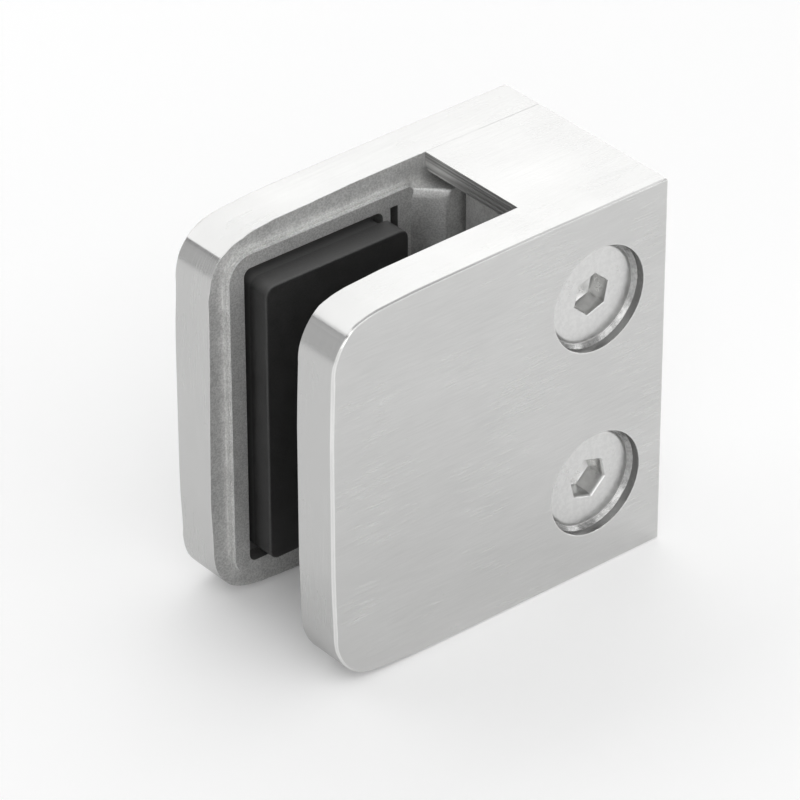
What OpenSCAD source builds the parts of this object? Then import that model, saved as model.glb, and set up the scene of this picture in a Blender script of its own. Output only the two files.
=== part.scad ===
// Square glass clamp for a flat post: cast body, cast cover, two rubber pads, two countersunk screws.
// Origin at the middle of the post face, +X out of that face towards the post,
// -Y out of the front face, +Z up. The glass slot is open at -X, at the top and at the bottom.

/* [Clamp] */
// Length from the open end to the post face
clamp_length = 45; // [40:0.5:60]
// Height of both plates
clamp_height = 45; // [40:0.5:60]
// Thickness over both plates
clamp_depth = 26; // [24:0.5:34]
// Corner radius at the open end
corner_r = 7; // [3.5:0.5:10]
// Thickness of the front plate
front_plate = 5.6; // [5:0.1:7]
// Thickness of the cover at its rim
cover_plate = 5.6; // [5:0.1:7]
// Broken edge round the outer face of both plates
edge_break = 0.2; // [0.1:0.05:0.6]

/* [Block] */
// Length of the block, from the end of the slot to the post face
block_length = 15.7; // [14:0.1:20]
// Thickness of the block's top and bottom walls
block_wall = 2.1; // [1.8:0.1:3]
// Thickness of the wall that lies on the post
post_wall = 4; // [3:0.1:5]
// Hole for the post bolt
post_hole_d = 8.5; // [6:0.1:9]
// Rounding of the walls' inner edge where they meet the cover
wall_round = 0.7; // [0.3:0.1:1]

/* [Screws] */
// Nominal screw diameter
screw_d = 6; // [5:0.5:6]
// How deep a screw reaches into the cover's boss
thread_engaged = 4.7; // [3:0.1:5.5]
// Diameter of the screw heads
head_d = 11.4; // [10:0.1:12]
// Rounding of the heads' outer edge
head_edge = 0.1; // [0.05:0.05:0.25]
// Height of the straight edge of the heads below that rounding
head_land = 0.05; // [0.05:0.05:0.4]
// Depth of the heads below the front face
head_sink = 1.25; // [0.5:0.05:1.6]
// Width across flats of the hex sockets
socket_af = 4; // [3:0.5:5]
// Depth of the hex sockets
socket_depth = 2.6; // [1.5:0.1:3]
// Turn of the upper and of the lower socket, in degrees
socket_turn = [42, 17]; // [0:60]
// Distance from the screws to the post face
screw_to_post = 9.2; // [8.5:0.1:10]
// Distance between the two screws
screw_pitch = 23; // [22:0.5:24]

/* [Pad seats] */
// Width of the flat rim at the open end
rim_end = 2.2; // [1.5:0.1:3]
// Width of the flat rim at the top and the bottom
rim_side = 2.5; // [2:0.1:4]
// Height of each of the two steps up to the raised field
step_height = 0.45; // [0.2:0.05:0.6]
// Set-back of the upper step from the lower one
step_back = 0.25; // [0.1:0.05:0.5]
// Corner radius at the inner end of the raised field
field_r = 0.8; // [0.5:0.1:2]
// Width of the raised border between the open end and the pocket
border_end = 1.9; // [1:0.1:3]
// Width of the raised border above and below the pocket
border_side = 1.6; // [1:0.1:3]
// Width of the raised border past the retaining slot
border_inner = 2.4; // [1:0.1:3]
// Distance from the raised field to the end of the glass slot
field_gap = 2.1; // [1:0.1:4]
// Depth of the pocket below the raised field
pocket_depth = 1.8; // [1:0.1:2.5]
// Corner radius of the pocket
pocket_r = 0.9; // [0.5:0.1:2]
// Width of the rib between the pocket and the retaining slot
rib_width = 1; // [0.8:0.1:2]
// Width of the retaining slot
slot_width = 1; // [0.6:0.1:1.5]

/* [Pads] */
// How far a pad stands proud of the rim
pad_proud = 3.6; // [2.5:0.1:5]
// Corner radius of a pad
pad_r = 1.2; // [0.5:0.1:2]
// Gap between a pad and its pocket at the open end
pad_end_gap = 0.7; // [0.2:0.1:1]
// Gap between a pad and its pocket at the top and the bottom
pad_side_gap = 1.25; // [0.2:0.05:2]
// How far a pad's face laps past the rib
pad_lap = 0.25; // [0:0.05:0.5]

/* [Pillars and bosses] */
// Gap between a pillar's end and the boss behind it
pillar_gap = 0.5; // [0.4:0.1:3]
// Set-back of the pillars from the end of the slot
pillar_back = 1.2; // [0.5:0.1:2]
// Distance from a screw to the inner side of its pillar
pillar_half = 4.8; // [4.4:0.1:5.4]
// Length of the draft facet at the pillars' free end
pillar_draft = 2.4; // [1:0.1:4]
// Set-back of that facet at the free end
pillar_draft_in = 0.7; // [0.3:0.1:1]
// Rounding of the pillars' rear corner
pillar_round = 0.4; // [0.2:0.1:0.8]
// Height of the cover's bosses above its rim
boss_height = 3.6; // [2.5:0.1:4]
// Gap between the bosses and the block's walls
boss_gap = 1.1; // [0.3:0.1:1.5]
// Distance from a screw to the inner side of its boss
boss_half = 5.4; // [4.5:0.1:6]
// Fall of the facet along a boss's ramp
facet_fall = 1.15; // [0.5:0.05:1.5]
// Set-back of the facet along a boss's ramp
facet_back = 0.4; // [0.3:0.05:1.5]

/* [Fits] */
// Play around a shank in the pillars
shank_play = 0.2; // [0.1:0.05:0.4]
// Play around a shank in the cover's threaded holes, which are drawn plain
thread_play = 0.05; // [0.02:0.01:0.1]
// Play around a head in its sunk seat, where the cone shows round the head
head_play = 0.45; // [0.1:0.05:0.5]
// Depth left past a screw's end in its threaded hole
thread_spare = 1.5; // [0.5:0.1:3]
// Gap between a pad's core and the rib
core_gap = 0.1; // [0.05:0.05:0.3]

/* [Hidden] */
$fn = 96;

half_h = clamp_height / 2;
half_d = clamp_depth / 2;
open_x = -clamp_length;                  // open end of both plates
slot_x = -block_length;                  // inner end of the glass slot
front_inner = -half_d + front_plate;     // inner face of the front plate
rim_y = half_d - cover_plate;            // plane where the cover's rim lies on the block
field_y = rim_y - 2 * step_height;       // plane of the cover's raised field
floor_y = field_y + pocket_depth;        // floor of the cover's pocket
pad_y = rim_y - pad_proud;               // face of the rear pad
room_half = half_h - block_wall;         // half height of the room inside the block

field_end_x = slot_x - field_gap;
groove_x = field_end_x - border_inner - slot_width;
rib_x = groove_x - rib_width;
pocket_x = open_x + rim_end + step_back + border_end;
pocket_half = half_h - rim_side - step_back - border_side;
pad_x = pocket_x + pad_end_gap;
pad_end_x = groove_x + pad_lap;
pad_half = pocket_half - pad_side_gap;
field_open_r = max(pocket_r + border_end + step_back, corner_r - 1.8 * rim_end);

screw_z = screw_pitch / 2;
screw_top = -half_d + head_sink;         // outer face of the heads
cone_y = screw_top + head_edge + head_land;          // widest end of the cone under a head
boss_y = rim_y - boss_height;
screw_end = boss_y + thread_engaged;
pillar_x = slot_x + pillar_back;
pillar_y = boss_y - pillar_gap;
pillar_low = screw_z - pillar_half;
boss_low = screw_z - boss_half;
boss_top = room_half - boss_gap;
boss_end_x = -post_wall - boss_gap;
over = 1;                                // how far a cut or a root runs past a face

steel = "#c9c9c7";
cast_steel = "#b9b9b6";
screw_steel = "#d6d6d4";
rubber = "#1c1c1d";

// Puts a profile drawn in X and Z between the planes y0 and y1
module between_y(y0, y1) {
    translate([0, y1, 0]) rotate([90, 0, 0]) linear_extrude(y1 - y0) children();
}

// Turns what was made for the cover into its twin for the front plate
module on_front_plate() {
    translate([0, front_inner + rim_y, 0]) mirror([0, 1, 0]) children();
}

// Repeats what was made for the upper half in the lower half
module top_and_bottom() {
    children();
    mirror([0, 0, 1]) children();
}

// Rectangle with one corner radius at its open end and another at its inner end
module round_rect(x0, x1, half, r_open, r_inner) {
    translate([x0 + r_open, -half]) square([x1 - r_inner - x0 - r_open, 2 * half]);
    translate([x0, -half + r_open]) square([2 * r_open, 2 * (half - r_open)]);
    translate([x1 - 2 * r_inner, -half + r_inner]) square([2 * r_inner, 2 * (half - r_inner)]);
    for (z = [-1, 1]) {
        translate([x0 + r_open, z * (half - r_open)]) circle(r_open);
        translate([x1 - r_inner, z * (half - r_inner)]) circle(r_inner);
    }
}

// Plate that lies on the plane of the cover's rim: round corners at the open end, square ones at
// the post, and a broken edge along the outer face everywhere but at the post
module plate(thickness) {
    face_y = rim_y + thickness;
    edge_y = face_y - edge_break;
    round_x = open_x + corner_r;
    straight = half_h - corner_r;
    translate([round_x, 0, 0]) rotate([90, 0, 90]) linear_extrude(-round_x) polygon([
        [rim_y, -half_h], [edge_y, -half_h], [face_y, edge_break - half_h],
        [face_y, half_h - edge_break], [edge_y, half_h], [rim_y, half_h]
    ]);
    translate([0, 0, -straight]) linear_extrude(2 * straight) polygon([
        [open_x, rim_y], [round_x + over, rim_y], [round_x + over, face_y],
        [open_x + edge_break, face_y], [open_x, edge_y]
    ]);
    for (z = [-straight, straight]) translate([round_x, rim_y, z]) rotate([-90, 0, 0])
        rotate_extrude() polygon([
            [0, 0], [corner_r, 0], [corner_r, thickness - edge_break],
            [corner_r - edge_break, thickness], [0, thickness]
        ]);
}

// Raised field inside the rim, reached in two steps
module raised_field() {
    for (step = [0, 1]) {
        back = step * step_back;
        between_y(rim_y - (step + 1) * step_height, rim_y + over) round_rect(
            open_x + rim_end + back, field_end_x - back, half_h - rim_side - back,
            field_open_r - back, field_r
        );
    }
}

// Pocket for a pad's core and slot behind its rib, cut from the raised field
module pad_pocket() {
    between_y(pad_y - over, floor_y) {
        round_rect(pocket_x, rib_x, pocket_half, pocket_r, pocket_r);
        translate([groove_x, -pocket_half]) square([slot_width, 2 * pocket_half]);
    }
}

// Top wall of the block, its inner edge rounded where it meets the cover
module block_wall() {
    round_y = rim_y - wall_round;
    translate([slot_x, 0, 0]) rotate([90, 0, 90]) linear_extrude(block_length) {
        translate([front_inner - over, room_half]) square([round_y - front_inner + over, block_wall]);
        translate([front_inner, room_half + wall_round])
            square([rim_y - front_inner, block_wall - wall_round]);
        translate([round_y, room_half + wall_round]) circle(wall_round);
    }
}

// Pillar that carries a screw from the front plate back, joined to the outer wall, with a draft
// facet and a rounded corner at its free end
module pillar() {
    root_y = front_inner - over;
    end_x = -post_wall / 2;
    tip_x = pillar_x + pillar_draft_in;
    round_y = pillar_y - pillar_round;
    translate([0, 0, pillar_low]) linear_extrude(room_half + block_wall / 2 - pillar_low) {
        polygon([
            [pillar_x, root_y], [end_x, root_y], [end_x, pillar_y], [tip_x + pillar_round, pillar_y],
            [tip_x, round_y], [pillar_x, pillar_y - pillar_draft]
        ]);
        translate([tip_x + pillar_round, round_y]) circle(pillar_round);
    }
}

// Screw hole in the body: sunk seat, cone under the head, shank hole
module screw_hole() {
    seat_r = head_d / 2 + head_play;
    hole_r = screw_d / 2 + shank_play;
    cone_sum = cone_y + head_d / 2;      // radius and depth add up to this along the cone
    rotate([-90, 0, 0]) rotate_extrude() polygon([
        [0, -half_d - over], [seat_r, -half_d - over], [seat_r, cone_sum - seat_r],
        [hole_r, cone_sum - hole_r], [hole_r, pillar_y + over], [0, pillar_y + over]
    ]);
}

module clamp_body() {
    color(steel) difference() {
        union() {
            on_front_plate() {
                plate(front_plate);
                raised_field();
            }
            top_and_bottom() {
                block_wall();
                pillar();
            }
            translate([-post_wall, front_inner - over, -half_h])
                cube([post_wall, rim_y - front_inner + over, clamp_height]);
        }
        on_front_plate() pad_pocket();
        top_and_bottom() translate([-screw_to_post, 0, screw_z]) screw_hole();
        translate([-post_wall - over, 0, 0]) rotate([0, 90, 0])
            cylinder(d = post_hole_d, h = post_wall + 2 * over);
    }
}

// Boss for a screw's thread, with a ramp towards the slot and a facet above the ramp
module boss() {
    run = rim_y + over - boss_y;
    difference() {
        translate([0, 0, boss_low]) linear_extrude(boss_top - boss_low) polygon([
            [slot_x, boss_y], [boss_end_x, boss_y], [boss_end_x, rim_y + over], [slot_x - run, rim_y + over]
        ]);
        translate([slot_x, boss_y, boss_top]) rotate([0, 0, 225]) translate([0, over, 0])
            rotate([90, 0, 0]) linear_extrude(2 * run) polygon([
                [-facet_back, 0], [-facet_back, over], [over, over], [over, -facet_fall], [0, -facet_fall]
            ]);
    }
}

module clamp_cover() {
    color(cast_steel) difference() {
        union() {
            plate(cover_plate);
            raised_field();
            top_and_bottom() boss();
        }
        pad_pocket();
        top_and_bottom() translate([-screw_to_post, boss_y - over, screw_z]) rotate([-90, 0, 0])
            cylinder(r = screw_d / 2 + thread_play, h = screw_end + thread_spare - boss_y + over);
    }
}

// Pad made for the cover: a core in the pocket and a face that laps over the rib
module pad() {
    color(rubber) {
        between_y(field_y, floor_y)
            round_rect(pad_x, rib_x - core_gap, pad_half, pad_r, pocket_r);
        between_y(pad_y, field_y) round_rect(pad_x, pad_end_x, pad_half, pad_r, pad_r);
    }
}

module rear_pad() { pad(); }

module front_pad() { on_front_plate() pad(); }

// Countersunk screw, head outwards, socket turned by the given angle
module screw(z, turn) {
    shank_r = screw_d / 2;
    lead = screw_d / 8;
    color(screw_steel) translate([-screw_to_post, 0, z]) rotate([-90, 0, 0]) difference() {
        rotate_extrude() polygon([
            [0, screw_top], [head_d / 2 - head_edge, screw_top], [head_d / 2, screw_top + head_edge],
            [head_d / 2, cone_y], [shank_r, cone_y + head_d / 2 - shank_r],
            [shank_r, screw_end - lead], [shank_r - lead, screw_end], [0, screw_end]
        ]);
        translate([0, 0, screw_top - over]) rotate(turn)
            cylinder(d = socket_af / cos(30), h = socket_depth + over, $fn = 6);
        translate([0, 0, screw_top + socket_depth])
            cylinder(d1 = socket_af, d2 = 0, h = socket_af / 2 * tan(30));
    }
}

module upper_screw() { screw(screw_z, socket_turn[0]); }

module lower_screw() { screw(-screw_z, socket_turn[1]); }

clamp_body();
clamp_cover();
front_pad();
rear_pad();
upper_screw();
lower_screw();
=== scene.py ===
"""Looks of the square glass clamp: brushed castings, black rubber pads and countersunk socket screws.

Metres throughout, in the clamp's own frame: +X out of the post face, -Y out of the front face, +Z up.
"""
import math

import bmesh
import bpy
from mathutils import Matrix, Vector, noise


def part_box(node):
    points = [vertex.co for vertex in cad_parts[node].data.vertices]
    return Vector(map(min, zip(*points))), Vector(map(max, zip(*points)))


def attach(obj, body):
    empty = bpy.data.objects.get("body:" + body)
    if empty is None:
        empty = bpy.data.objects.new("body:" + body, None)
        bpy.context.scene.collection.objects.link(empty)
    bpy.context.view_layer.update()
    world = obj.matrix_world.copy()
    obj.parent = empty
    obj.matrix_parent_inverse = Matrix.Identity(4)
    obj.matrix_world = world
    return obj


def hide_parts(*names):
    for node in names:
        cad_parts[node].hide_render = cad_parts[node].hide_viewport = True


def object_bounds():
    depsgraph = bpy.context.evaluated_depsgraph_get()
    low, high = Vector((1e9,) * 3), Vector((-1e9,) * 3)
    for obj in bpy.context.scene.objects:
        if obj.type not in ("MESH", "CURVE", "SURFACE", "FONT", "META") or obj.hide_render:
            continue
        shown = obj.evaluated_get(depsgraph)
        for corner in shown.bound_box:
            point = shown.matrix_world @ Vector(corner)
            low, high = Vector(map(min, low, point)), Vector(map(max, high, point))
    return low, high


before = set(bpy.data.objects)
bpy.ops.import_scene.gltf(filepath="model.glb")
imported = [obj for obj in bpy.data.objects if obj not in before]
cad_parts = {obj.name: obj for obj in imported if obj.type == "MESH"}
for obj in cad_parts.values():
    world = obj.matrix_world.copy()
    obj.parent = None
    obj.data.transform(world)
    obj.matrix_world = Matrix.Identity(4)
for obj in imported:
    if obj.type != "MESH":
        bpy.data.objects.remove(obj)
cad_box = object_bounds()

MM = 0.001
SLACK = 0.03 * MM                          # how far off a plane or a line still counts as on it
low, high = (Vector(corner) for corner in cad_box)
middle = (low + high) / 2

# Sizes of the CAD model, repeated here where its pieces don't show them
BLOCK_LENGTH = 15.7 * MM
BLOCK_WALL = 2.1 * MM
FIELD_RISE = 0.9 * MM                      # both steps from the cover's rim up to its raised field
FIELD_GAP = 2.1 * MM                       # between that field and the end of the glass slot
POCKET_END_GAP = 0.7 * MM                  # between a pad and its pocket at the open end
POCKET_SIDE_GAP = 1.25 * MM                # the same at the top and the bottom
pad_low, pad_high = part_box("rear_pad")
screw_low, screw_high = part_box("upper_screw")
seam_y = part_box("clamp_body")[1].y         # plane where the cover lies on the block
slot_x = high.x - BLOCK_LENGTH             # inner end of the glass slot
wall_z = high.z - BLOCK_WALL               # underside of the block's top wall
seat = Vector(((screw_low.x + screw_high.x) / 2, screw_low.y, (screw_low.z + screw_high.z) / 2))


# ---------------------------------------------------------------- node helpers

def new_group(name, inputs, outputs):
    """Shader node group with sockets of those kinds, and its input and output nodes."""
    group = bpy.data.node_groups.new(name, "ShaderNodeTree")
    for title, kind, default in inputs:
        socket = group.interface.new_socket(title, in_out="INPUT", socket_type="NodeSocket" + kind)
        socket.default_value = default
    for title, kind in outputs:
        group.interface.new_socket(title, in_out="OUTPUT", socket_type="NodeSocket" + kind)
    return group, group.nodes.new("NodeGroupInput"), group.nodes.new("NodeGroupOutput")


def feed(tree, socket, value):
    """Links a socket to another one, or sets it to a plain value."""
    if isinstance(value, bpy.types.NodeSocket):
        tree.links.new(value, socket)
    elif value is not None:
        socket.default_value = value


def math_node(tree, operation, a, b=None, c=None, clamp=False):
    """Result of one sum on plain numbers."""
    node = tree.nodes.new("ShaderNodeMath")
    node.operation = operation
    node.use_clamp = clamp
    for socket, value in zip(node.inputs, (a, b, c)):
        feed(tree, socket, value)
    return node.outputs[0]


def summed(tree, start, *parts, clamp=False):
    """Start with each (value, weight) part added, kept between 0 and 1 at the end if asked."""
    total = start
    for count, (value, weight) in enumerate(parts, 1):
        total = math_node(tree, "MULTIPLY_ADD", value, weight, total, clamp=clamp and count == len(parts))
    return total


def where_all(tree, *masks):
    """Mask of where all the given ones are."""
    total = masks[0]
    for mask in masks[1:]:
        total = math_node(tree, "MULTIPLY", total, mask)
    return total


def split(tree, vector):
    """The three parts of a vector."""
    node = tree.nodes.new("ShaderNodeSeparateXYZ")
    feed(tree, node.inputs[0], vector)
    return node.outputs


def sizes(tree, vector):
    """The three parts of a vector without their signs."""
    return [math_node(tree, "ABSOLUTE", part) for part in split(tree, vector)]


def remap(tree, value, from_low, from_high, to_low, to_high):
    """Value moved from one range to another, and kept inside it."""
    node = tree.nodes.new("ShaderNodeMapRange")
    for socket, item in zip(node.inputs, (value, from_low, from_high, to_low, to_high)):
        feed(tree, socket, item)
    return node.outputs[0]


MIX_SOCKETS = {"FLOAT": (2, 3, 0), "VECTOR": (4, 5, 1)}    # places of A, B and the result on the node


def mixed(tree, kind, factor, a, b):
    """From a, at factor 0, to b, at factor 1."""
    node = tree.nodes.new("ShaderNodeMix")
    node.data_type = kind
    place_a, place_b, place_out = MIX_SOCKETS[kind]
    feed(tree, node.inputs[0], factor)
    feed(tree, node.inputs[place_a], a)
    feed(tree, node.inputs[place_b], b)
    return node.outputs[place_out]


def noise_node(tree, vector, scale, detail=2.0, roughness=0.5):
    """Soft noise of that fineness, read at a place."""
    node = tree.nodes.new("ShaderNodeTexNoise")
    feed(tree, node.inputs["Vector"], vector)
    feed(tree, node.inputs["Scale"], scale)
    node.inputs["Detail"].default_value = detail
    node.inputs["Roughness"].default_value = roughness
    return node.outputs["Fac"]


def stretched_noise(tree, vector, scale, detail, roughness, turn=(0, 0, 0)):
    """Noise drawn out into lines: each axis has its own fineness, after a turn."""
    node = tree.nodes.new("ShaderNodeMapping")
    feed(tree, node.inputs["Vector"], vector)
    node.inputs["Rotation"].default_value = turn
    node.inputs["Scale"].default_value = scale
    return noise_node(tree, node.outputs[0], 1.0, detail, roughness)


def ring_noise(tree, distance, fineness):
    """Rings that follow each other as that distance grows."""
    node = tree.nodes.new("ShaderNodeCombineXYZ")
    feed(tree, node.inputs[0], distance)
    return noise_node(tree, node.outputs[0], fineness)


def radius_of(tree, x, z):
    """Distance from an axis that lies along Y."""
    squares = math_node(tree, "MULTIPLY_ADD", x, x, math_node(tree, "MULTIPLY", z, z))
    return math_node(tree, "SQRT", squares)


def object_place(tree):
    """Place on the object, in metres."""
    return tree.nodes.new("ShaderNodeTexCoord").outputs["Object"]


def surface(tree, title):
    """Output of the geometry under the skin, such as the face's own True Normal."""
    return tree.nodes.new("ShaderNodeNewGeometry").outputs[title]


def place_group(tree, group, **values):
    """Outputs of a shared effect, placed with its own values."""
    node = tree.nodes.new("ShaderNodeGroup")
    node.node_tree = group
    for title, value in values.items():
        feed(tree, node.inputs[title], value)
    return node.outputs


# ---------------------------------------------------------------- shared effects

BELT_TILT = math.radians(6)                # how far the belt lines on the plates lean from level
SQUARELY = 0.8                             # a normal's part above which a face looks along that axis


def build_brushing():
    """Fine belt lines: along the plate on its faces, and round the outline on its edges."""
    group, _, out = new_group("brushing", [], [("Lines", "Float"), ("Drift", "Float")])
    place = object_place(group)
    face = stretched_noise(group, place, (240, 3000, 5600), 4.0, 0.6, (0, -BELT_TILT, 0))
    edge = stretched_noise(group, place, (160, 5000, 160), 3.0, 0.6)
    _, facing, _ = sizes(group, surface(group, "True Normal"))
    lines = mixed(group, "FLOAT", math_node(group, "GREATER_THAN", facing, SQUARELY), edge, face)
    feed(group, out.inputs["Lines"], remap(group, lines, 0.38, 0.62, 0.0, 1.0))
    drift = stretched_noise(group, place, (60, 160, 160), 2.0, 0.5, (0, -BELT_TILT, 0))
    feed(group, out.inputs["Drift"], drift)
    return group


def build_grain():
    """Sand-cast skin: fine grains with a few coarser swells and pits."""
    group, into, out = new_group("cast_grain", [("Fineness", "Float", 3000.0)],
                                 [("Height", "Float"), ("Tone", "Float")])
    place = object_place(group)
    fineness = into.outputs["Fineness"]
    fine = noise_node(group, place, fineness, 3.0, 0.65)
    coarse = noise_node(group, place, math_node(group, "MULTIPLY", fineness, 0.12))
    feed(group, out.inputs["Height"], summed(group, fine, (coarse, 0.5)))
    specks = remap(group, fine, 0.42, 0.58, 0.0, 0.65)
    swells = remap(group, coarse, 0.3, 0.7, 0.0, 0.35)
    feed(group, out.inputs["Tone"], math_node(group, "ADD", specks, swells, clamp=True))
    return group


def build_edge_wear_and_highlight():
    """Mask of where a surface turns sharply outwards within a short reach: rubbed edges on some materials,
    painted edge highlights on others.
    """
    group, into, out = new_group("edge_wear_and_highlight", [("Reach", "Float", 0.3 * MM)], [("Mask", "Float")])
    bevel = group.nodes.new("ShaderNodeBevel")
    bevel.samples = 4
    feed(group, bevel.inputs["Radius"], into.outputs["Reach"])
    agreement = group.nodes.new("ShaderNodeVectorMath")
    agreement.operation = "DOT_PRODUCT"
    feed(group, agreement.inputs[0], bevel.outputs[0])
    feed(group, agreement.inputs[1], surface(group, "True Normal"))
    feed(group, out.inputs["Mask"], remap(group, agreement.outputs["Value"], 0.995, 0.9, 0.0, 1.0))
    return group


def build_handling():
    """Broad, faint changes of polish from handling."""
    group, into, out = new_group("handling", [("Size", "Float", 90.0)], [("Mask", "Float")])
    wide = noise_node(group, object_place(group), into.outputs["Size"], 3.0, 0.6)
    feed(group, out.inputs["Mask"], remap(group, wide, 0.35, 0.65, 0.0, 1.0))
    return group


brushing = build_brushing()
grain = build_grain()
edge_wear_and_highlight = build_edge_wear_and_highlight()
handling = build_handling()


# ---------------------------------------------------------------- materials

WARMTH = 0.99                              # share of blue in a grey, which makes it a trace warm
RUBBED_BAND = 0.5 * MM                     # how far behind an outer face the belt rubs edges bright
BROKEN_FACING = (0.65, 0.3)                # a broken edge's part of the way out of its plate, give or take


def new_material(name):
    """Material with its node tree and its shader."""
    material = bpy.data.materials.new(name)
    material.use_nodes = True
    return material, material.node_tree, material.node_tree.nodes["Principled BSDF"]


def greys(tree, value, *stops):
    """Grey read off (place, grey) stops as value goes from 0 to 1."""
    ramp = tree.nodes.new("ShaderNodeValToRGB")
    feed(tree, ramp.inputs[0], value)
    elements = ramp.color_ramp.elements
    for _ in stops[2:]:
        elements.new(0.5)
    for element, (place, grey) in zip(elements, stops):
        element.position = place
        element.color = (grey, grey, grey * WARMTH, 1)
    return ramp.outputs[0]


def tone(tree, value, dark, light):
    """Grey from a dark to a light one as value goes from 0 to 1."""
    return greys(tree, value, (0, dark), (1, light))


def set_finish(tree, shader, colour, roughness, height, depth, metallic=1.0):
    """Feeds a shader its colour, its roughness and a relief of that depth."""
    relief = tree.nodes.new("ShaderNodeBump")
    relief.inputs["Strength"].default_value = 1.0
    relief.inputs["Distance"].default_value = depth
    feed(tree, relief.inputs["Height"], height)
    feed(tree, shader.inputs["Base Color"], colour)
    feed(tree, shader.inputs["Roughness"], roughness)
    feed(tree, shader.inputs["Normal"], relief.outputs[0])
    shader.inputs["Metallic"].default_value = metallic


def brushed_steel():
    """Belt-ground steel: lines along the plates and round their outline, edges rubbed bright, end faces
    drawn darker as painted shade.
    """
    material, tree, shader = new_material("brushed_steel")
    belt = place_group(tree, brushing)
    rubbed = place_group(tree, edge_wear_and_highlight, Reach=0.25 * MM)["Mask"]
    smudge = place_group(tree, handling, Size=70.0)["Mask"]
    _, depth, _ = sizes(tree, object_place(tree))
    across, facing, _ = sizes(tree, surface(tree, "True Normal"))
    outer = math_node(tree, "GREATER_THAN", depth, high.y - RUBBED_BAND)
    edge = where_all(tree, rubbed, outer)
    # Painted shade: the end faces are drawn darker than the plate's faces, for the shade that falls on them
    end = math_node(tree, "GREATER_THAN", across, SQUARELY)
    broken = where_all(tree, math_node(tree, "COMPARE", facing, *BROKEN_FACING), outer)
    streaks = summed(tree, 0.15, (belt["Lines"], 0.35), (belt["Drift"], 0.4))
    worn = summed(tree, streaks, (edge, 1.0), (end, -0.3), (broken, 0.8))
    colour = greys(tree, math_node(tree, "MULTIPLY", worn, 0.5), (0.1, 0.60), (0.4, 0.69), (1.0, 1.0))
    rough = summed(tree, remap(tree, belt["Lines"], 0.0, 1.0, 0.23, 0.29), (smudge, -0.04), (edge, -0.08))
    set_finish(tree, shader, colour, rough, belt["Lines"], 0.0006 * MM)
    # Each face's gloss is drawn out across its own belt lines
    on_plate = math_node(tree, "GREATER_THAN", facing, SQUARELY)
    across_plate = (math.sin(BELT_TILT), 0, math.cos(BELT_TILT))
    across_outline = (0, 1, 0)
    feed(tree, shader.inputs["Tangent"], mixed(tree, "VECTOR", on_plate, across_outline, across_plate))
    shader.inputs["Anisotropic"].default_value = 0.93
    return material


def in_pad_pocket(tree):
    """Mask of the pads' pockets, round and behind the pads."""
    x, y, z = sizes(tree, object_place(tree))
    behind_field = math_node(tree, "GREATER_THAN", y, seam_y - FIELD_RISE + SLACK)
    level = math_node(tree, "LESS_THAN", z, pad_high.z + POCKET_SIDE_GAP + SLACK)
    along = math_node(tree, "LESS_THAN", x, -pad_low.x + POCKET_END_GAP + SLACK)
    return where_all(tree, behind_field, level, along)


def cast_steel():
    """As-cast skin inside the castings: dull, finely grained, with a painted highlight on its edges and
    painted shade darkening the pads' pockets.
    """
    material, tree, shader = new_material("cast_steel")
    skin = place_group(tree, grain, Fineness=5200.0)
    edge = place_group(tree, edge_wear_and_highlight, Reach=0.07 * MM)["Mask"]
    # Painted highlight: the edges are drawn a little lighter
    grain_and_edge_highlight = summed(tree, 0.0, (skin["Tone"], 0.65), (edge, 0.12), clamp=True)
    # Painted shade: the pads' pockets are drawn darker, for the shade inside them
    shade = remap(tree, in_pad_pocket(tree), 0.0, 1.0, 1.0, 0.4)
    value = math_node(tree, "MULTIPLY", summed(tree, 0.54, (grain_and_edge_highlight, 0.46)), shade)
    rough = remap(tree, edge, 0.0, 1.0, 0.62, 0.4)
    set_finish(tree, shader, tone(tree, value, 0.12, 0.97), rough, skin["Height"], 0.04 * MM)
    return material


def milled_steel():
    """Cut end of the block's walls: straight cutter lines from front to back."""
    material, tree, shader = new_material("milled_steel")
    cut = stretched_noise(tree, object_place(tree), (300, 40, 3000), 2.0, 0.6)
    lines = remap(tree, cut, 0.35, 0.65, 0.0, 1.0)
    rough = remap(tree, lines, 0.0, 1.0, 0.5, 0.34)
    set_finish(tree, shader, tone(tree, lines, 0.36, 0.90), rough, cut, 0.08 * MM)
    return material


def seat_steel():
    """Turned seat of a screw: rings round its axis, along the wall and down the cone, with the wall drawn
    darker as painted shade.
    """
    material, tree, shader = new_material("turned_seat")
    x, y, z = split(tree, object_place(tree))
    sideways = math_node(tree, "SUBTRACT", x, seat.x)
    upwards = math_node(tree, "SUBTRACT", math_node(tree, "ABSOLUTE", z), seat.z)
    rings = ring_noise(tree, math_node(tree, "SUBTRACT", radius_of(tree, sideways, upwards), y), 7000.0)
    skin = place_group(tree, grain, Fineness=2500.0)
    _, facing, _ = sizes(tree, surface(tree, "True Normal"))
    # Painted shade: the seat's straight wall is drawn darker than its cone
    wall = math_node(tree, "LESS_THAN", facing, 1 - SQUARELY)
    value = summed(tree, 0.0, (skin["Tone"], 0.4), (rings, 0.6), (wall, -0.6), clamp=True)
    rough = remap(tree, rings, 0.3, 0.7, 0.2, 0.3)
    set_finish(tree, shader, tone(tree, value, 0.20, 0.62), rough, rings, 0.012 * MM)
    return material


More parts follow.
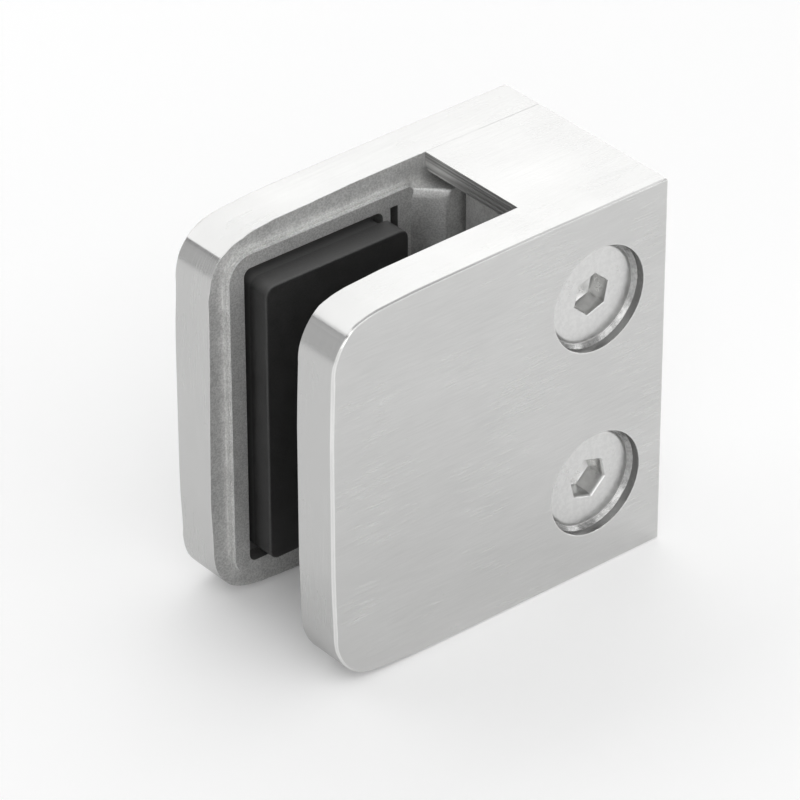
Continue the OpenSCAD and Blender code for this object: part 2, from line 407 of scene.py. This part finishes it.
def pad_rubber():
    """Moulded rubber, lighter where it faces up from dust and painted light from above, with painted light
    on its broad faces and behind the field, and edges a little lighter, rubbed and with a painted highlight.
    """
    material, tree, shader = new_material("pad_rubber")
    skin = place_group(tree, grain, Fineness=4500.0)
    # Edges are drawn lighter: rubbed, and a painted highlight
    edge = place_group(tree, edge_wear_and_highlight, Reach=0.3 * MM)["Mask"]
    _, facing, upward = split(tree, surface(tree, "Normal"))
    _, depth, _ = sizes(tree, object_place(tree))
    # Painted light: the broad faces and the part behind the field are drawn lighter; upward faces are
    # lighter from dust and painted light from above
    broad_face = math_node(tree, "ABSOLUTE", facing)
    sunk = math_node(tree, "GREATER_THAN", depth, seam_y - FIELD_RISE)
    dust_and_top_light = remap(tree, upward, 0.3, 1.0, 0.0, 0.55)
    value = summed(tree, dust_and_top_light, (broad_face, 0.1), (sunk, 0.2), (edge, 0.3), (skin["Tone"], 0.15), clamp=True)
    rough = remap(tree, skin["Tone"], 0.0, 1.0, 0.42, 0.58)
    set_finish(tree, shader, tone(tree, value, 0.006, 0.12), rough, skin["Height"], 0.03 * MM, metallic=0.0)
    return material


def screw_steel():
    """Cold-headed steel, with a fine even skin and faint rings round the screw's own axis."""
    material, tree, shader = new_material("screw_steel")
    x, _, z = split(tree, object_place(tree))
    rings = ring_noise(tree, radius_of(tree, x, z), 4200.0)
    skin = place_group(tree, grain, Fineness=1500.0)
    edge = place_group(tree, edge_wear_and_highlight, Reach=0.12 * MM)["Mask"]
    value = summed(tree, 0.0, (skin["Tone"], 0.45), (rings, 0.35), (edge, 0.35), clamp=True)
    rough = remap(tree, skin["Tone"], 0.0, 1.0, 0.26, 0.38)
    set_finish(tree, shader, tone(tree, value, 0.66, 0.84), rough, rings, 0.004 * MM)
    return material


BRUSHED, CAST, MILLED, SEAT = range(4)
casting_skins = (brushed_steel(), cast_steel(), milled_steel(), seat_steel())
rubber = pad_rubber()
steel_screw = screw_steel()


# ---------------------------------------------------------------- the belt's work on the castings

CORNER = 7.0 * MM                          # corner radius at the open end
BREAK = 0.2 * MM                           # the broken edge as the CAD has it
BREAK_REACH = 0.35 * MM                    # how far behind an outer face its broken edge can lie
BELT_REACH = 1.1 * MM                      # how far inside the CAD's outline the belt's work can lie
corner_x = low.x + CORNER
corner_z = high.z - CORNER

# What came off, in mm, at degrees round the corner from the top, or at mm along X or Z
TOP_DROP, TOP_RUN = 0.3, 22                # most of it at the corner, fading out along the top
HUMP_DROP, HUMP_RUN = 0.18, 2              # more on the first of that length
END_DROP, END_RUN = 0.26, 4                # on the open end, fading out away from the corners
CORNER_TOP_DROP = ((0, 0.48), (12, 0.5), (25, 0.33))
FRONT_BEND_DROP = ((36, 0.1), (60, 0.16))
COVER_BEND_DROP = ((40, 0.08), (60, 0.05))
CORNER_END_DROP = ((75, 0.18), (90, 0.26))
RIM_CORNER_DROP = ((0, 0.7), (20, 0.8), (30, 0.6), (40, 0.5), (50, 0.25), (60, 0.3), (80, 0.5), (90, 0.4))
RIM_TOP_DROP = ((corner_x / MM, 0.7), (-36, 0.45), (-32, 0.35), (-28, 0.2), (-24, 0.0))
RIM_END_DROP = ((-14, 0.0), (-8, 0.05), (0, 0.15), (8, 0.35), (14, 0.4))
RIPPLE_DROP = 0.05                         # unevenness of the rim's inner edge
RIPPLE_LONG = 1.9 * MM
RIPPLE_SHORT = 0.8 * MM

# Width of the broken edge, as a share of the CAD's, at degrees round the corner or at mm along X
CORNER_BREAK = ((0, 0.5), (30, 0.4), (44, 0.8), (90, 1.3))
TOP_BREAK = ((corner_x / MM, 0.5), (0, 0.35))
END_BREAK = 1.4

# Where the outline's faces are cut across so that they can bend there, in mm along X or Z
LENGTH_CUTS = (-43, -34, -30, -26, -22, -18, -13, -10, -6, -4.5, -2.5)
HEIGHT_CUTS = (-12, -8, 8, 12)
RIM_CUT_STEP = 1.6
RIM_HEIGHT_CUTS = [-15 + RIM_CUT_STEP * step for step in range(20)]
RIM_LENGTH_CUTS = [-37.4 + RIM_CUT_STEP * step for step in range(10)]


def in_corner(point):
    """Whether a point lies in one of the two rounded corners."""
    return point.x < corner_x and abs(point.z) > corner_z


def corner_turn(point):
    """Degrees round its corner, from the top or the bottom towards the open end."""
    return math.degrees(math.atan2(corner_x - point.x, abs(point.z) - corner_z))


def at_outline(point):
    """Distance inside the clamp's outline, and the way out of it, for a point in X and Z."""
    side = 1 if point.z >= 0 else -1
    if in_corner(point):
        away = Vector((point.x - corner_x, 0, point.z - side * corner_z))
        return CORNER - away.length, away.normalized()
    return min((high.z - abs(point.z), Vector((0, 0, side))), (point.x - low.x, Vector((-1, 0, 0))),
               (high.x - point.x, Vector((1, 0, 0))), key=lambda pair: pair[0])


def between(stops, value):
    """Value read off a short list of (place, amount) stops, straight between them."""
    for (a, amount_a), (b, amount_b) in zip(stops, stops[1:]):
        if value <= b:
            share = min(max((value - a) / (b - a), 0), 1)
            return amount_a + (amount_b - amount_a) * share
    return stops[-1][1]


def belt_drop(point):
    """How much the belt took off the outline by hand at that point."""
    if in_corner(point):
        bend = FRONT_BEND_DROP if point.y < 0 else COVER_BEND_DROP
        return between(CORNER_TOP_DROP + bend + CORNER_END_DROP, corner_turn(point)) * MM
    if abs(point.z) > corner_z:
        run = (point.x - corner_x) / MM
        hump = HUMP_DROP * math.exp(-(run / HUMP_RUN) ** 2)
        return (TOP_DROP * max(1 - run / TOP_RUN, 0) ** 1.5 + hump) * MM
    if point.x < corner_x:
        return END_DROP * math.exp(-((corner_z - abs(point.z)) / (END_RUN * MM)) ** 2) * MM
    return 0.0


def rim_drop(point):
    """How far in the cover's inner edge was ground, which is more than its outer one."""
    if point.x < corner_x and point.z > corner_z:
        amount = between(RIM_CORNER_DROP, corner_turn(point))
    elif point.z > corner_z:
        amount = between(RIM_TOP_DROP, point.x / MM)
    elif point.x < corner_x:
        amount = between(RIM_END_DROP, point.z / MM)
    else:
        return 0.0
    ripple = noise.noise(point / RIPPLE_LONG) + noise.noise(point / RIPPLE_SHORT) * 0.5
    return (amount + RIPPLE_DROP * ripple * min(amount / 0.2, 1)) * MM


def break_share(point):
    """Width of the broken edge at that point, as a share of the CAD's."""
    if in_corner(point):
        return between(CORNER_BREAK, corner_turn(point))
    if abs(point.z) > corner_z:
        return between(TOP_BREAK, point.x / MM)
    return END_BREAK


def cut_across(shape, axis, place):
    """Adds edges where a plane crosses the outline's faces, so that what follows can bend them there."""
    point = Vector((0, 0, 0))
    normal = Vector((0, 0, 0))
    point[axis] = place
    normal[axis] = 1
    band = [face for face in shape.faces if abs(face.normal.y) < 0.9
            and all(at_outline(vert.co)[0] < BREAK + SLACK for vert in face.verts)]
    around = {vert for face in band for vert in face.verts}
    edges = {edge for face in band for edge in face.edges}
    geometry = band + list(around) + list(edges)
    bmesh.ops.bisect_plane(shape, geom=geometry, dist=0.001 * MM, plane_co=point, plane_no=normal)


def dress_outline(shape):
    """Works the outline over as the belt did: lower towards the open end, edges broken unevenly."""
    for vert in shape.verts:
        point = vert.co.copy()
        # The post face isn't ground, so a point on it counts with the face that it borders
        gap, out = at_outline(Vector((min(point.x, high.x - 0.5 * MM), point.y, point.z)))
        if gap > BREAK + SLACK or abs(point.y) < seam_y - SLACK:
            continue
        wider = BREAK * (break_share(point) - 1)
        if gap > BREAK / 2:
            vert.co -= out * wider
        elif abs(point.y) > high.y - BREAK - SLACK:
            vert.co.y -= math.copysign(wider, point.y)
        if point.x < slot_x:
            drop = belt_drop(point)
            if point.y > 0:
                towards_rim = (high.y - point.y) / (high.y - seam_y)
                drop += max(rim_drop(point) - drop, 0.0) * towards_rim
            vert.co -= out * drop


# ---------------------------------------------------------------- rounded edges

SEAT_R = 6.15 * MM                         # radius of a screw's sunk seat
SEAT_LIP = 0.02 * MM                       # how much of the rounding at its mouth has the seat's skin
SEAT_START_Y = low.y + 0.3 * MM            # a seat's edges below its mouth lie between these planes
SEAT_END_Y = -seam_y - 0.5 * MM
HOLLOW_START_X = slot_x - 3.5 * MM         # short of the bosses' ramps
SHARP = math.radians(28)                   # edges that turn more than this get rounded
WIDEST = 0.3 * MM                          # the widest rounding of an edge


def at_seam(point):
    """Where the cover meets the block on the outside."""
    return abs(point.y - seam_y) < SLACK and point.x > slot_x - SLACK and at_outline(point)[0] < SLACK


def seam_within(reach):
    """Test for the seam's part within that reach of the post face."""
    return lambda point: at_seam(point) and point.x > high.x - reach


def at_rim_edge(point):
    """Inner edge of a plate's outline, along the glass slot."""
    return (abs(abs(point.y) - seam_y) < SLACK and point.x < slot_x - SLACK
            and at_outline(point)[0] < BELT_REACH)


def at_break(point):
    """Broken edge round a plate's outer face."""
    return abs(point.y) > high.y - BREAK_REACH and at_outline(point)[0] < BELT_REACH


def from_seat(point):
    """Distance from the nearer screw's axis."""
    return math.hypot(point.x - seat.x, abs(point.z) - seat.z)


def at_seat_mouth(point):
    """Rim of a seat in the front face."""
    return point.y < low.y + SLACK and from_seat(point) < SEAT_R + SLACK


def in_seat(point):
    """Edges inside a seat, from below its mouth to short of the plate's inner face."""
    return SEAT_START_Y < point.y < SEAT_END_Y and from_seat(point) < SEAT_R + SLACK


def in_hollow(point):
    """Pillars, bosses and walls inside the block, but not the end of the cover's raised field."""
    at_field_end = point.x < slot_x - FIELD_GAP + SLACK and abs(point.y) > seam_y - FIELD_RISE - SLACK
    between_walls = abs(point.y) < seam_y - SLACK and abs(point.z) < wall_z - 0.5 * MM
    return between_walls and point.x > HOLLOW_START_X and not at_field_end


def at_pad_edge(point):
    """Edges of a pad's proud part, clear of the laps over its pocket's ribs."""
    return abs(point.y) < seam_y - FIELD_RISE - SLACK


CASTING_EDGES = (
    (at_break, 0.03 * MM),
    (seam_within(6 * MM), 0.05 * MM),
    (seam_within(10 * MM), 0.02 * MM),
    (at_seam, 0.008 * MM),
    (at_rim_edge, 0.05 * MM),
    (at_seat_mouth, 0.08 * MM),
    (in_seat, 0.05 * MM),
    (in_hollow, 0.25 * MM),
)
PAD_EDGES = ((at_pad_edge, 0.22 * MM),)


def soften(shape, rules):
    """Gives each sharp edge the rounding of the first rule whose test its middle passes."""
    layer = shape.edges.layers.float.new("bevel_weight_edge")
    for edge in shape.edges:
        if edge.is_manifold and edge.calc_face_angle(0) > SHARP:
            centre = (edge.verts[0].co + edge.verts[1].co) / 2
            edge[layer] = next((width / WIDEST for test, width in rules if test(centre)), 0.0)


def applied(piece):
    """Replaces the piece's mesh with what its modifiers make of it."""
    graph = bpy.context.evaluated_depsgraph_get()
    piece.data = bpy.data.meshes.new_from_object(piece.evaluated_get(graph))
    piece.modifiers.clear()


def mark_creases(mesh, steepest):
    """Shades the mesh smooth but for the edges that turn more than that."""
    shape = bmesh.new()
    shape.from_mesh(mesh)
    for face in shape.faces:
        face.smooth = True
    for edge in shape.edges:
        edge.smooth = edge.is_manifold and edge.calc_face_angle(0) < steepest
    shape.to_mesh(mesh)
    shape.free()


def rounded(piece, segments):
    """Cuts the weighted roundings and shades them smooth, while the flat faces stay flat."""
    bevel = piece.modifiers.new("edges", "BEVEL")
    bevel.limit_method = "WEIGHT"
    bevel.width = WIDEST
    bevel.segments = segments
    bevel.use_clamp_overlap = False
    applied(piece)
    mark_creases(piece.data, math.radians(35))
    weighted = piece.modifiers.new("even", "WEIGHTED_NORMAL")
    weighted.weight = 80
    weighted.keep_sharp = True
    applied(piece)


# ---------------------------------------------------------------- castings and pads

def clean_copy(node, name):
    """New object with a copy of a CAD node's mesh, its triangles merged back into plain faces."""
    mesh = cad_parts[node].data.copy()
    mesh.materials.clear()
    piece = bpy.data.objects.new(name, mesh)
    bpy.context.scene.collection.objects.link(piece)
    shape = bmesh.new()
    shape.from_mesh(mesh)
    bmesh.ops.remove_doubles(shape, verts=shape.verts, dist=0.002 * MM)
    bmesh.ops.dissolve_limit(shape, angle_limit=math.radians(0.4), verts=shape.verts, edges=shape.edges)
    return piece, shape


def skin_of(centre, normal):
    """Which of a casting's skins a face has."""
    gap, out = at_outline(centre)
    if centre.y < SEAT_END_Y and from_seat(centre) < SEAT_R + SEAT_LIP:
        return SEAT
    if abs(centre.x - slot_x) < SLACK and abs(centre.z) > wall_z - SLACK and abs(normal.x) > 0.9:
        return MILLED
    outer_face = abs(centre.y) > high.y - BREAK_REACH
    if outer_face or (gap < BELT_REACH and normal.dot(out) > 0.35):
        return BRUSHED
    return CAST


def finished_casting(node, name):
    """Copy of a CAD casting, dressed on the belt, with soft edges and its skins told apart."""
    piece, shape = clean_copy(node, name)
    for place in LENGTH_CUTS:
        cut_across(shape, 0, place * MM)
    for place in HEIGHT_CUTS:
        cut_across(shape, 2, place * MM)
    if node == "clamp_cover":
        for place in RIM_HEIGHT_CUTS:
            cut_across(shape, 2, place * MM)
        for place in RIM_LENGTH_CUTS:
            cut_across(shape, 0, place * MM)
    dress_outline(shape)
    soften(shape, CASTING_EDGES)
    shape.to_mesh(piece.data)
    shape.free()
    rounded(piece, 3)
    for skin in casting_skins:
        piece.data.materials.append(skin)
    for face in piece.data.polygons:
        face.material_index = skin_of(face.center, face.normal)
    return piece


def finished_pad(node, name):
    """Copy of a CAD pad with moulded, rounded edges."""
    piece, shape = clean_copy(node, name)
    soften(shape, PAD_EDGES)
    shape.to_mesh(piece.data)
    shape.free()
    rounded(piece, 4)
    piece.data.materials.append(rubber)
    return piece


# ---------------------------------------------------------------- screws

SOCKET_FLAT = 4.0 * MM                     # across flats
SOCKET_DEEP = 2.6 * MM
HEAD_SHOULDER = 0.45 * MM                  # width of the soft shoulder round the head's flat
HEAD_LAND = 0.15 * MM                      # depth of that shoulder, down to the cone
SHANK_R = 3.0 * MM
NECK = 1.5 * MM                            # plain shank between the cone and the thread
LEAD = 0.8 * MM                            # tapered end of the shank
THREAD_PITCH = 1.0 * MM
THREAD_DEEP = 0.6 * MM
AROUND = 72                                # points round a screw, a multiple of 6
PER_PITCH = 12                             # rings to each turn of the thread


def hexagon(angle, flats):
    """Distance from the centre to a hexagon's side in that direction, from a corner at angle 0."""
    folded = math.fmod(angle, math.pi / 3) - math.pi / 6
    return flats / 2 / math.cos(folded)


def thread_radius(angle, depth):
    """Radius of a 60 degree thread at that angle round the screw and depth along it."""
    turn = math.fmod(depth / THREAD_PITCH - angle / (2 * math.pi) + 100, 1.0)
    height = min(max(abs(turn - 0.5) * 2 * 1.25 - 0.125, 0.0), 1.0)
    return SHANK_R - THREAD_DEEP * (1 - height)


def socket_rings(mouth):
    """Rings of the hex socket from its floor up: a shallow cone, the flats, and a mouth worn open."""
    return [
        (lambda a: 0.0, SOCKET_DEEP + 0.25 * MM),
        (lambda a: 1.2 * MM, SOCKET_DEEP + 0.08 * MM),
        (lambda a: SOCKET_FLAT * 0.46, SOCKET_DEEP),
        (lambda a: hexagon(a, SOCKET_FLAT), SOCKET_DEEP - 0.12 * MM),
        (lambda a: hexagon(a, SOCKET_FLAT), 0.9 * MM),
        (lambda a: hexagon(a, (SOCKET_FLAT + mouth) / 2), 0.35 * MM),
        (lambda a: hexagon(a, mouth), 0.06 * MM),
        (lambda a: hexagon(a, mouth) + 0.07 * MM, 0.0),
    ]


def head_rings(head_r):
    """Rings of the head from its flat over the soft shoulder to the seat's cone."""
    rings = [(lambda a: 3.4 * MM, 0.0), (lambda a: head_r - HEAD_SHOULDER, 0.0)]
    for share, fall in ((0.30, 0.012), (0.55, 0.04), (0.78, 0.085)):
        rings.append((lambda a, r=head_r - (1 - share) * HEAD_SHOULDER: r, fall * MM))
    rings.append((lambda a: head_r - 0.02 * MM, HEAD_LAND * 0.93))
    rings.append((lambda a: head_r, HEAD_LAND))
    rings.append((lambda a: SHANK_R, HEAD_LAND + head_r - SHANK_R))
    return rings


def thread_rings(start, length):
    """Rings of the threaded shank and its lead."""
    end = length - LEAD
    steps = round((end - start) / THREAD_PITCH * PER_PITCH)
    rings = [(lambda a: SHANK_R, start)]
    for step in range(1, steps + 1):
        depth = start + (end - start) * step / steps
        rings.append((lambda a, y=depth: thread_radius(a, y), depth))
    rings.append((lambda a: SHANK_R - 0.75 * MM, length))
    rings.append((lambda a: 0.0, length))
    return rings


def ring_points(shape, radius, depth, turn):
    """Points of one ring, or a single point where it has closed up on the axis."""
    if radius(0.0) == 0.0:
        return [shape.verts.new((0, depth, 0))]
    points = []
    for step in range(AROUND):
        angle = 2 * math.pi * step / AROUND
        r = radius(angle)
        points.append(shape.verts.new((r * math.cos(angle + turn), depth, -r * math.sin(angle + turn))))
    return points


def finished_screw(node, name, turn, mouth):
    """Countersunk socket screw, spun from rings that are circles, hexagons or a thread's section."""
    box_low, box_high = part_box(node)
    head_r = (box_high.x - box_low.x) / 2
    rings = socket_rings(mouth) + head_rings(head_r)
    rings += thread_rings(HEAD_LAND + head_r - SHANK_R + NECK, box_high.y - box_low.y)
    shape = bmesh.new()
    loops = [ring_points(shape, radius, depth, turn) for radius, depth in rings]
    for first, second in zip(loops, loops[1:]):
        for step in range(AROUND):
            following = step + 1
            corners = [first[step % len(first)], second[step % len(second)],
                       second[following % len(second)], first[following % len(first)]]
            shape.faces.new(list(dict.fromkeys(corners)))
    bmesh.ops.recalc_face_normals(shape, faces=shape.faces)
    mesh = bpy.data.meshes.new(name)
    shape.to_mesh(mesh)
    shape.free()
    piece = bpy.data.objects.new(name, mesh)
    piece.location = ((box_low.x + box_high.x) / 2, box_low.y, (box_low.z + box_high.z) / 2)
    bpy.context.scene.collection.objects.link(piece)
    mesh.shade_smooth()
    mesh.set_sharp_from_angle(angle=math.radians(32))
    mesh.materials.append(steel_screw)
    return piece


# ---------------------------------------------------------------- the clamp, piece by piece

def add_piece(piece, node):
    """Hands a finished piece to the frame, in the place of its CAD node."""
    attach(piece, "root")
    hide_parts(node)


add_piece(finished_casting("clamp_body", "body_casting"), "clamp_body")
add_piece(finished_casting("clamp_cover", "cover_casting"), "clamp_cover")
for side in ("front", "rear"):
    add_piece(finished_pad(side + "_pad", side + "_rubber_pad"), side + "_pad")
for place, degrees, mouth in (("upper", 42, 4.2), ("lower", 17, 4.4)):
    screw = finished_screw(place + "_screw", place + "_socket_screw", math.radians(degrees), mouth * MM)
    add_piece(screw, place + "_screw")


# ---------------------------------------------------------------- floor, light and camera

def direction(azimuth, elevation):
    """Way from the clamp to a place so many degrees round from the front and over the horizon."""
    a, e = math.radians(azimuth), math.radians(elevation)
    return Vector((math.sin(a) * math.cos(e), -math.cos(a) * math.cos(e), math.sin(e)))


def floor():
    """Pale table under the clamp, which keeps its shadow."""
    bpy.ops.mesh.primitive_plane_add(size=1.6, location=(middle.x, middle.y, low.z))
    table = bpy.context.object
    table.name = "table"
    material, tree, shader = new_material("pale_table")
    shader.inputs["Base Color"].default_value = (0.92, 0.92, 0.92, 1)
    shader.inputs["Roughness"].default_value = 0.9
    shader.inputs["Specular IOR Level"].default_value = 0.0
    seen = tree.nodes.new("ShaderNodeLightPath").outputs["Is Camera Ray"]
    glow = tree.nodes.new("ShaderNodeEmission")
    feed(tree, glow.inputs["Strength"], math_node(tree, "MULTIPLY", seen, 0.1))
    add = tree.nodes.new("ShaderNodeAddShader")
    feed(tree, add.inputs[0], shader.outputs[0])
    feed(tree, add.inputs[1], glow.outputs[0])
    feed(tree, tree.nodes["Material Output"].inputs[0], add.outputs[0])
    table.data.materials.append(material)


def fade(tree, up, low_angle, high_angle, below, above):
    """Soft change from one radiance to another between two heights over the horizon, in degrees."""
    node = tree.nodes.new("ShaderNodeMapRange")
    node.interpolation_type = "SMOOTHSTEP"
    feed(tree, node.inputs["Value"], up)
    feed(tree, node.inputs["From Min"], math.sin(math.radians(low_angle)))
    feed(tree, node.inputs["From Max"], math.sin(math.radians(high_angle)))
    feed(tree, node.inputs["To Min"], below)
    feed(tree, node.inputs["To Max"], above)
    return node.outputs[0]


def studio():
    """Plain tent: pale walls up to eye height, lighter in front and to the right, and dim above."""
    world = bpy.data.worlds.new("studio")
    bpy.context.scene.world = world
    world.use_nodes = True
    tree = world.node_tree
    x, y, up = split(tree, tree.nodes.new("ShaderNodeTexCoord").outputs["Generated"])
    front = math_node(tree, "MULTIPLY_ADD", y, -0.7, 0.5, clamp=True)
    right = math_node(tree, "MULTIPLY_ADD", x, 0.7, 0.5, clamp=True)
    wall = summed(tree, 0.56, (front, 0.29), (right, 0.91))
    dim = fade(tree, up, 27, 31, wall, 0.33)
    dark = fade(tree, up, 36, 40, dim, 0.0)
    feed(tree, tree.nodes["Background"].inputs["Color"], dark)


def soft_lamp(name, width, length, radiance):
    """Flat soft lamp of that size, as bright to look at as a wall of that radiance."""
    lamp = bpy.data.lights.new(name, "AREA")
    lamp.shape = "RECTANGLE"
    lamp.size = width
    lamp.size_y = length
    lamp.energy = radiance * math.pi * lamp.size * lamp.size_y
    box = bpy.data.objects.new(name, lamp)
    bpy.context.scene.collection.objects.link(box)
    return box


def softbox(name, west, east, south, north, height, radiance):
    """Soft lamp laid flat over the clamp at that height, between those edges from its middle."""
    box = soft_lamp(name, east - west, north - south, radiance)
    box.location = middle + Vector(((west + east) / 2, (south + north) / 2, height))


def fill_light(name, azimuth, elevation, distance, size, radiance):
    """Square soft lamp aimed at the clamp's middle."""
    box = soft_lamp(name, size, size, radiance)
    way = direction(azimuth, elevation)
    box.location = middle + way * distance
    box.rotation_euler = way.to_track_quat("Z", "Y").to_euler()


def camera(azimuth, elevation, roll, distance, focal_length, aim):
    """Camera that looks from so far at a point near the clamp's middle, rolled by some degrees."""
    lens = bpy.data.cameras.new("view")
    lens.sensor_width = 36
    lens.lens = focal_length
    lens.clip_start = 0.01
    eye = bpy.data.objects.new("view", lens)
    way = direction(azimuth, elevation)
    eye.location = middle + aim + way * distance
    tilt = Matrix.Rotation(math.radians(roll), 3, "Z").to_quaternion()
    eye.rotation_euler = (way.to_track_quat("Z", "Y") @ tilt).to_euler()
    bpy.context.scene.collection.objects.link(eye)
    bpy.context.scene.camera = eye


floor()
studio()
softbox("ceiling_light", west=-0.5, east=0.72, south=-0.8, north=1.08, height=0.6, radiance=0.46)
softbox("back_softbox", west=-0.47, east=0.6, south=0.2, north=0.6, height=0.5, radiance=1.18)
softbox("front_left_softbox", west=-0.47, east=0.2, south=-0.65, north=-0.15, height=0.5, radiance=1.22)
fill_light("front_fill", azimuth=-38, elevation=27, distance=0.8, size=0.3, radiance=1.2)
camera(azimuth=-39.534, elevation=32.987, roll=-0.161, distance=0.5606, focal_length=239.8,
       aim=Vector((-2.3, 0.65, -1.3)) * MM)
bpy.context.scene.view_settings.view_transform = "Standard"
